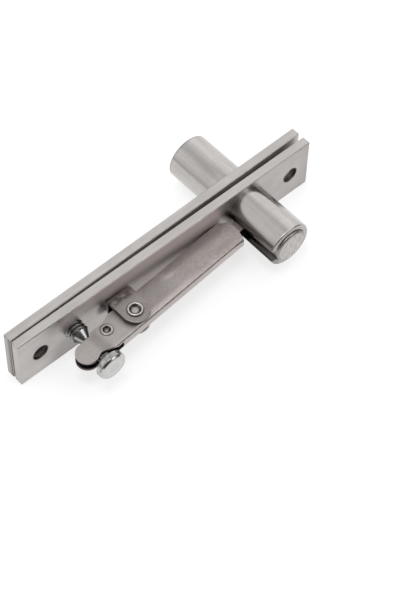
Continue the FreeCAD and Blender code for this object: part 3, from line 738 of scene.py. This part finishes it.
def add_piece(name, bm, node, steel):
    """Links a mesh that stands for a CAD node, rides on its body and has its own steel."""
    mesh = bpy.data.meshes.new(name)
    bm.to_mesh(mesh)
    bm.free()
    mesh.polygons.foreach_set("use_smooth", [True] * len(mesh.polygons))
    mesh.set_sharp_from_angle(angle=SMOOTH_ANGLE)
    mesh.materials.append(STEELS[steel])
    piece = bpy.data.objects.new(name, mesh)
    scene.collection.objects.link(piece)
    piece.modifiers.new("flat_faces", "WEIGHTED_NORMAL").keep_sharp = True
    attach(piece, frame["nodes"][node]["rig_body"])
    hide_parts(node)
    print(f"{name}: {len(mesh.polygons)} faces")


print("edges over", round(math.degrees(SHARP_ANGLE)), "degrees get a round")

# %% Copy a node, or spin a section
COPY_MERGE = 1e-6
SPIN_MERGE = 1e-7
FLAT_ANGLE = math.radians(0.4)


def soften_node(name, node, steel, edge_mm):
    """A merged copy of a CAD node with rounded edges."""
    bm = bmesh.new()
    bm.from_mesh(frame["nodes"][node].data)
    bmesh.ops.remove_doubles(bm, verts=bm.verts, dist=COPY_MERGE)
    bmesh.ops.dissolve_limit(bm, angle_limit=FLAT_ANGLE, verts=bm.verts, edges=bm.edges)
    round_edges(bm, edge_mm)
    add_piece(name, bm, node, steel)


def spin_section(section, axis, steps, centre=(0, 0, 0)):
    """Spins points (radius, distance along the axis), in millimetres, about Y or Z."""
    bm = bmesh.new()
    places = [(radius, along, 0) if axis == "Y" else (radius, 0, along) for radius, along in section]
    verts = [bm.verts.new(Vector(place) * MM) for place in places]
    edges = [bm.edges.new(pair) for pair in zip(verts, verts[1:])]
    if section[0][0] > 0:
        edges.append(bm.edges.new((verts[-1], verts[0])))
    bmesh.ops.spin(
        bm, geom=verts + edges, cent=(0, 0, 0), axis=(0, 1, 0) if axis == "Y" else (0, 0, 1), dvec=(0, 0, 0),
        angle=2 * math.pi, steps=steps, use_merge=True, use_normal_flip=False, use_duplicate=False,
    )
    bmesh.ops.remove_doubles(bm, verts=bm.verts, dist=SPIN_MERGE)
    bmesh.ops.recalc_face_normals(bm, faces=bm.faces)
    bmesh.ops.translate(bm, verts=bm.verts, vec=Vector(centre) * MM)
    return bm


print("points closer than", COPY_MERGE / MM, "mm are merged in a copy")


# %% Cut one mesh with another, or join them
def box_tool(low, high):
    """A box with the given corners, in millimetres."""
    bm = bmesh.new()
    bmesh.ops.create_cube(bm, size=1.0)
    bmesh.ops.scale(bm, verts=bm.verts, vec=(Vector(high) - Vector(low)) * MM)
    bmesh.ops.translate(bm, verts=bm.verts, vec=(Vector(high) + Vector(low)) / 2 * MM)
    return bm


def combine(bm, tool_bm, operation):
    """Cuts the tool out of a mesh, or joins it on, with a Boolean modifier whose result is kept."""
    items = []
    for shape in (bm, tool_bm):
        mesh = bpy.data.meshes.new("blank")
        shape.to_mesh(mesh)
        shape.free()
        items.append(bpy.data.objects.new("blank", mesh))
        scene.collection.objects.link(items[-1])
    blank, tool = items
    boolean = blank.modifiers.new("combine", "BOOLEAN")
    boolean.operation = operation
    boolean.solver = "EXACT"
    boolean.object = tool
    bpy.context.view_layer.update()
    done = bpy.data.meshes.new_from_object(blank.evaluated_get(bpy.context.evaluated_depsgraph_get()))
    result = bmesh.new()
    result.from_mesh(done)
    meshes = [done] + [item.data for item in items]
    for item in items:
        bpy.data.objects.remove(item)
    for mesh in meshes:
        bpy.data.meshes.remove(mesh)
    bmesh.ops.remove_doubles(result, verts=result.verts, dist=SPIN_MERGE)
    return result


print("tools: box_tool and combine")

# %% [markdown]
# ## The two bars
# Each plate is one flat bar with broken edges and countersunk holes. A cube could be scaled and drilled,
# but the CAD copy has its holes where they belong, so it is kept and only its edges are softened a little
# more.

# %% Plates
BAR_ROUND = 0.12
soften_node("pin_bar", "pin_plate", "pin_bar", BAR_ROUND)
soften_node("socket_bar", "socket_plate", "socket_bar", BAR_ROUND)

# %% [markdown]
# ## Barrel and pin
# The barrel is a tube with a slot that runs out at its mouth, so its section is spun and a box is cut
# away. Its spigot sits in the plate. The pin stands a little proud of the mouth, and a cross slot takes
# the lever's tongue. The corners that show are drawn into the sections, because a turned edge is rounder
# than a bevel.

# %% Turn the barrel
BARREL_RADIUS = 8.6
SPIGOT_RADIUS = 7.5
SLOT_HALF = 2.5
SLOT_ROOT = -3.0
CUT_REACH = 12.0
TURNED_ROUND = 0.12
CORNER = [(0.7, 0.0), (0.38, 0.08), (0.12, 0.3), (0.0, 0.65)]


def turned_corner(end, inwards):
    """A barrel's round outer corner, from end face to side; inwards is 1 or -1 along the axis."""
    return [(BARREL_RADIUS - drop, end + inwards * back) for drop, back in CORNER]


barrel_section = [(BORE_RADIUS, PLATE), (SPIGOT_RADIUS, PLATE), (SPIGOT_RADIUS, 0.0), (BARREL_RADIUS, 0.0)]
barrel_section += reversed(turned_corner(BARREL_MOUTH, 1))
barrel_section += [
    (BORE_RADIUS + 0.35, BARREL_MOUTH), (BORE_RADIUS + 0.1, BARREL_MOUTH + 0.1),
    (BORE_RADIUS, BARREL_MOUTH + 0.35),
]
slot_tool = box_tool((-CUT_REACH, BARREL_MOUTH - 3, -SLOT_HALF), (0, SLOT_ROOT, SLOT_HALF))
barrel = combine(spin_section(barrel_section, "Y", steps=160), slot_tool, "DIFFERENCE")
round_edges(barrel, TURNED_ROUND)
add_piece("slotted_tube", barrel, "slotted_barrel", "barrel")

# %% Turn the pin
CROSS_SLOT_START = -7.6
CROSS_SLOT_FLOOR = -1.7
pin_section = [
    (0, PIN_END), (PIN_RADIUS - 0.6, PIN_END), (PIN_RADIUS - 0.35, PIN_END + 0.1),
    (PIN_RADIUS - 0.12, PIN_END + 0.33), (PIN_RADIUS, PIN_END + 0.65), (PIN_RADIUS, PIN_FOOT - 0.63),
    (PIN_RADIUS - 0.17, PIN_FOOT - 0.23), (PIN_RADIUS - 0.6, PIN_FOOT), (0, PIN_FOOT),
]
cross_low = (-CUT_REACH, CROSS_SLOT_START, -SLOT_HALF)
cross_high = (CROSS_SLOT_FLOOR, SLOT_ROOT, SLOT_HALF)
pin = combine(spin_section(pin_section, "Y", steps=128), box_tool(cross_low, cross_high), "DIFFERENCE")
round_edges(pin, TURNED_ROUND)
add_piece("sliding_pin", pin, "pivot_pin", "pin")

# %% [markdown]
# ## Socket
# The socket is closed at its far end and leans with its plate by the play of the pin. Its section touches
# the axis twice, at the bottom of the bore and outside, so the spin closes both ends by itself.

# %% Turn the socket
SOCKET_BORE = 6.65
SOCKET_DEPTH = 12.98
SOCKET_ROUND = 0.1
socket_section = [(0, SOCKET_END)] + turned_corner(SOCKET_END, -1) + [
    (BARREL_RADIUS, PLATE), (SPIGOT_RADIUS, PLATE), (SPIGOT_RADIUS, 0.0), (SOCKET_BORE, 0.0),
    (SOCKET_BORE, SOCKET_DEPTH), (0, SOCKET_DEPTH),
]
socket = spin_section(socket_section, "Y", steps=160)
leaning = Matrix.Translation((0, SOCKET_Y * MM, 0)) @ Matrix.Rotation(math.radians(LEAN_DEG), 4, "Z")
bmesh.ops.transform(socket, matrix=leaning, verts=socket.verts)
round_edges(socket, SOCKET_ROUND)
add_piece("closed_socket", socket, "socket_barrel", "socket")

# %% [markdown]
# ## Lever and bracket
# Both are folded sheet. They could be drawn flat, extruded and bent, but the CAD copies have the folds
# already. Their blanked edges are slightly rounded, which draws the thin bright line that follows the
# lever's outline.

# %% Folded parts
SHEET_ROUND = 0.22
soften_node("rocking_lever", "rocker_lever", "lever", SHEET_ROUND)
soften_node("folded_bracket", "lever_bracket", "bracket", SHEET_ROUND)

# %% [markdown]
# ## Rivets
# The lever turns on a semi-tubular rivet: the end of its shank is rolled over into a bead round a funnel.
# The spacer has a thin flat rim and a smaller funnel at both ends. Both sections are spun about the
# vertical.

# %% Spin the lever's rivet
EAR_FACE = 3.7
SHANK_RADIUS = 2.0
BEAD_RADIUS = 0.4
BEAD_HEIGHT = 3.9
HEAD_END = -4.6
bead_angles = [math.radians(degrees) for degrees in range(20, 181, 20)]
bead_middle = RIVET_RIM - BEAD_RADIUS
funnel = [(0, 3.28), (0.7, 3.23), (1.2, 3.2), (1.42, 3.3), (1.78, 3.8)]
bead = [
    (bead_middle - BEAD_RADIUS * math.cos(angle), BEAD_HEIGHT + BEAD_RADIUS * math.sin(angle))
    for angle in bead_angles
]
shank_and_head = [
    (RIVET_RIM, EAR_FACE), (SHANK_RADIUS, EAR_FACE), (SHANK_RADIUS, -EAR_FACE), (RIVET_RIM, -EAR_FACE),
    (RIVET_RIM, HEAD_END + 0.3), (RIVET_RIM - 0.3, HEAD_END), (0, HEAD_END),
]
rivet = spin_section(funnel + bead + shank_and_head, "Z", steps=72, centre=PIVOT)
add_piece("tubular_rivet", rivet, "lever_rivet", "rivet")

# %% Spin the spacer
CHEEK_FACE = 2.2
CHEEK_INSIDE = 1.2
SPACER_SHANK = 1.5
SPACER_BODY = 2.0
upper_half = [
    (0, 1.64), (0.45, 1.61), (0.75, 1.6), (0.9, 1.68), (1.33, 2.36), (1.45, 2.45),
    (SPACER_RIM - 0.14, 2.45), (SPACER_RIM - 0.03, 2.4), (SPACER_RIM, 2.3), (SPACER_RIM, CHEEK_FACE),
    (SPACER_SHANK, CHEEK_FACE), (SPACER_SHANK, CHEEK_INSIDE), (SPACER_BODY, CHEEK_INSIDE),
]
lower_half = [(radius, -along) for radius, along in reversed(upper_half)]
spacer = spin_section(upper_half + lower_half, "Z", steps=64, centre=SPACER)
add_piece("spacer", spacer, "spacer_rivet", "spacer")

# %% [markdown]
# ## Adjusting screw
# The screw is turned from one piece: thread, cone, neck, collar and button, with a hexagon socket in its
# tail. A Screw modifier could wind the thread, but one spin with a small step along the axis is the same
# helix and leaves plain mesh. The ridge is joined to the core so that the screw is one closed skin.

# %% Turn the core
TAIL = 1.41
CONE_RADIUS = 3.35
NECK_RADIUS = 1.1
COLLAR_START = -15.27
COLLAR_RADIUS = 2.6
thread_core = [
    (0, TAIL), (THREAD_ROOT - 0.4, TAIL), (THREAD_ROOT, TAIL - 0.4), (THREAD_ROOT, CONE_BASE + 0.35),
]
cone_and_collar = [
    (CONE_RADIUS, CONE_BASE), (NECK_RADIUS, CONE_TIP), (NECK_RADIUS, COLLAR_START),
    (COLLAR_RADIUS - 0.1, COLLAR_START), (COLLAR_RADIUS, COLLAR_START - 0.1), (COLLAR_RADIUS, BUTTON_BACK),
]
button = [
    (BUTTON_RADIUS - 0.2, BUTTON_BACK), (BUTTON_RADIUS, BUTTON_BACK - 0.2), (BUTTON_RADIUS, -19.35),
    (5.25, -19.6), (4.88, -20.12), (4.74, -20.28), (4.5, BUTTON_END), (0, BUTTON_END),
]
core = spin_section(thread_core + cone_and_collar + button, "Y", steps=112)
print("core of the screw:", len(core.faces), "faces")

# %% Cut the key socket
KEY_FLATS = 3.0
KEY_DEPTH = 2.2
key = bmesh.new()
key_radius = KEY_FLATS / math.sqrt(3) * MM
bmesh.ops.create_cone(
    key, cap_ends=True, cap_tris=False, segments=6, radius1=key_radius, radius2=key_radius,
    depth=2 * KEY_DEPTH * MM,
    matrix=Matrix.Translation((0, TAIL * MM, 0)) @ Matrix.Rotation(math.pi / 2, 4, "X"),
)
core = combine(core, key, "DIFFERENCE")
print("core with its key socket:", len(core.faces), "faces")

# %% Wind the thread
PITCH = 1.3
TURN_STEPS = 48
RIDGE_FOOT = THREAD_ROOT - 0.1
RIDGE_FOOT_HALF = 0.56
RIDGE_TOP_HALF = 0.13
PLAIN_LENGTH = 0.9
turns = (TAIL - CONE_BASE - PLAIN_LENGTH) / PITCH
ridge = [
    (RIDGE_FOOT, -RIDGE_FOOT_HALF), (THREAD_CREST, -RIDGE_TOP_HALF), (THREAD_CREST, RIDGE_TOP_HALF),
    (RIDGE_FOOT, RIDGE_FOOT_HALF),
]
first_turn = TAIL - 0.62
thread = bmesh.new()
verts = [thread.verts.new(Vector((radius, first_turn + along, 0)) * MM) for radius, along in ridge]
edges = [thread.edges.new(pair) for pair in zip(verts, verts[1:] + verts[:1])]
bmesh.ops.spin(
    thread, geom=verts + edges, cent=(0, 0, 0), axis=(0, 1, 0), dvec=(0, -PITCH / TURN_STEPS * MM, 0),
    angle=2 * math.pi * turns, steps=int(TURN_STEPS * turns), use_merge=False, use_normal_flip=False,
    use_duplicate=False,
)
bmesh.ops.holes_fill(thread, edges=[edge for edge in thread.edges if edge.is_boundary], sides=4)
bmesh.ops.recalc_face_normals(thread, faces=thread.faces)
screw = combine(core, thread, "UNION")
bmesh.ops.translate(screw, verts=screw.verts, vec=(SCREW_X * MM, 0, 0))
add_piece("threaded_screw", screw, "adjusting_screw", "screw")

# %% [markdown]
# ## Floor
# The hinge lies on the long edges of its plates on a white table. White paint alone would look grey in
# this light and carry a heavy shadow. So the paint is a middle grey, and a glow that only the camera,
# mirrors and glass see lifts it to white: the shadow falls on the grey share alone and stays soft. From
# here on places are in metres, as Blender counts them.

# %% Lay the floor
FLOOR_HALF = 4.0
FLOOR_CLEARANCE = 0.00005
TABLE_GREY = 0.4
TABLE_LIFT = 0.72
BLACK = (0, 0, 0, 1)
WHITE = (1, 1, 1, 1)
floor_bm = bmesh.new()
bmesh.ops.create_grid(floor_bm, x_segments=1, y_segments=1, size=FLOOR_HALF)
bmesh.ops.translate(floor_bm, verts=floor_bm.verts, vec=(0, 0, cad_box[0][2] - FLOOR_CLEARANCE))
floor_mesh = bpy.data.meshes.new("table")
floor_bm.to_mesh(floor_mesh)
floor_bm.free()
table_white = bpy.data.materials.new("table_white")
table_white.use_nodes = True
table_tree = table_white.node_tree
paint = table_tree.nodes["Principled BSDF"]
paint.inputs["Base Color"].default_value = (TABLE_GREY, TABLE_GREY, TABLE_GREY, 1)
paint.inputs["Roughness"].default_value = 0.9
paint.inputs["Specular IOR Level"].default_value = 0.1
paint.inputs["Emission Strength"].default_value = 1.0
rays = table_tree.nodes.new("ShaderNodeLightPath")
seen, mirrored, through = (
    Signal(table_tree, rays.outputs[f"Is {kind} Ray"]) for kind in ("Camera", "Glossy", "Transmission")
)
shown = (seen + mirrored + through).step(0.0, 1.0)
shown.mix(BLACK, (TABLE_LIFT, TABLE_LIFT, TABLE_LIFT, 1)).feed(paint, "Emission Color")
floor_mesh.materials.append(table_white)
table = bpy.data.objects.new("table", floor_mesh)
scene.collection.objects.link(table)
print("floor at", round(cad_box[0][2] / MM, 2), "mm")

# %% [markdown]
# ## Tent and lamps
# Steel shows mostly what is around it, so the room is a white tent that is open, and dark, on the
# camera's side and brightest at the right: flat faces stay pale, the round sides get a soft band, and
# every surface that turns to the front gets a dark line. The tent could be a mesh, but drawn in the
# world's colour, by directions from -1 to 1, it casts no shadow and needs no cloth. Two weak softboxes
# add the highlights that a tent alone lacks.

# %% Hang the tent
TENT_PEAK = 1.2
TENT_LEVEL = 0.71
RIGHT_GLOW = 0.46
LEFT_GLOW = 0.2
LEFT_END_DROP = 0.26
HEM_DROP = 0.2
OPENING_LEVEL = 0.05
OPENING_TILT = 1.6
world = bpy.data.worlds.new("studio_tent")
scene.world = world
world.use_nodes = True
backdrop = world.node_tree.nodes["Background"]
sky = Signal(world.node_tree, world.node_tree.nodes.new("ShaderNodeTexCoord").outputs["Generated"])
right, back, up = sky.axes()
left = 0 - right
cloth = TENT_LEVEL + RIGHT_GLOW * right.step(0.15, 0.6)
cloth = cloth + LEFT_GLOW * left.step(0.3, 0.6) - LEFT_END_DROP * left.step(0.75, 0.92)
cloth = cloth - HEM_DROP * up.fade(0.02, 0.25)
level = OPENING_LEVEL + (up + OPENING_TILT * back).step(0.0, 0.65) * cloth
(level * (1 / TENT_PEAK)).mix(BLACK, WHITE).feed(backdrop, "Color")
backdrop.inputs["Strength"].default_value = TENT_PEAK
print("tent:", OPENING_LEVEL, "in the opening,", round(TENT_LEVEL + RIGHT_GLOW, 2), "at the right")

# %% Place the lamps
HINGE_MIDDLE = (-0.035, 0, 0)


def softbox(name, place, size, watts):
    """A square lamp at place, in metres, that faces the middle of the hinge."""
    lamp = bpy.data.lights.new(name, "AREA")
    lamp.size = size
    lamp.energy = watts
    holder = bpy.data.objects.new(name, lamp)
    holder.location = place
    holder.rotation_euler = (Vector(HINGE_MIDDLE) - Vector(place)).to_track_quat("-Z", "Y").to_euler()
    scene.collection.objects.link(holder)
    print(f"{name}: {watts} W")


softbox("top_lamp", (-0.2, 0.0, 1.0), size=0.35, watts=2.0)
softbox("right_lamp", (0.36, -0.6, 0.72), size=0.5, watts=1.6)

# %% [markdown]
# ## Camera
# The hinge is seen from above its left end with a long lens, which keeps the plates nearly parallel. The
# place, the turn and the lens were fitted to the edges and holes of the plates, so they are numbers and
# not a guess by eye. The Standard view leaves the colours as they are written.

# %% Set up the camera
CAMERA_PLACE = (-0.274189, -0.268473, 0.498596)
CAMERA_TURN_DEG = (34.535741, -1.029362, -41.905537)
LENS = 108.6
camera = bpy.data.cameras.new("photo_camera")
camera.lens = LENS
camera.sensor_width = 36.0
camera.sensor_fit = "AUTO"
viewer = bpy.data.objects.new("photo_camera", camera)
viewer.location = CAMERA_PLACE
viewer.rotation_euler = [math.radians(angle) for angle in CAMERA_TURN_DEG]
scene.collection.objects.link(viewer)
scene.camera = viewer
scene.view_settings.view_transform = "Standard"
print("camera at", CAMERA_PLACE, "with a lens of", LENS, "mm")
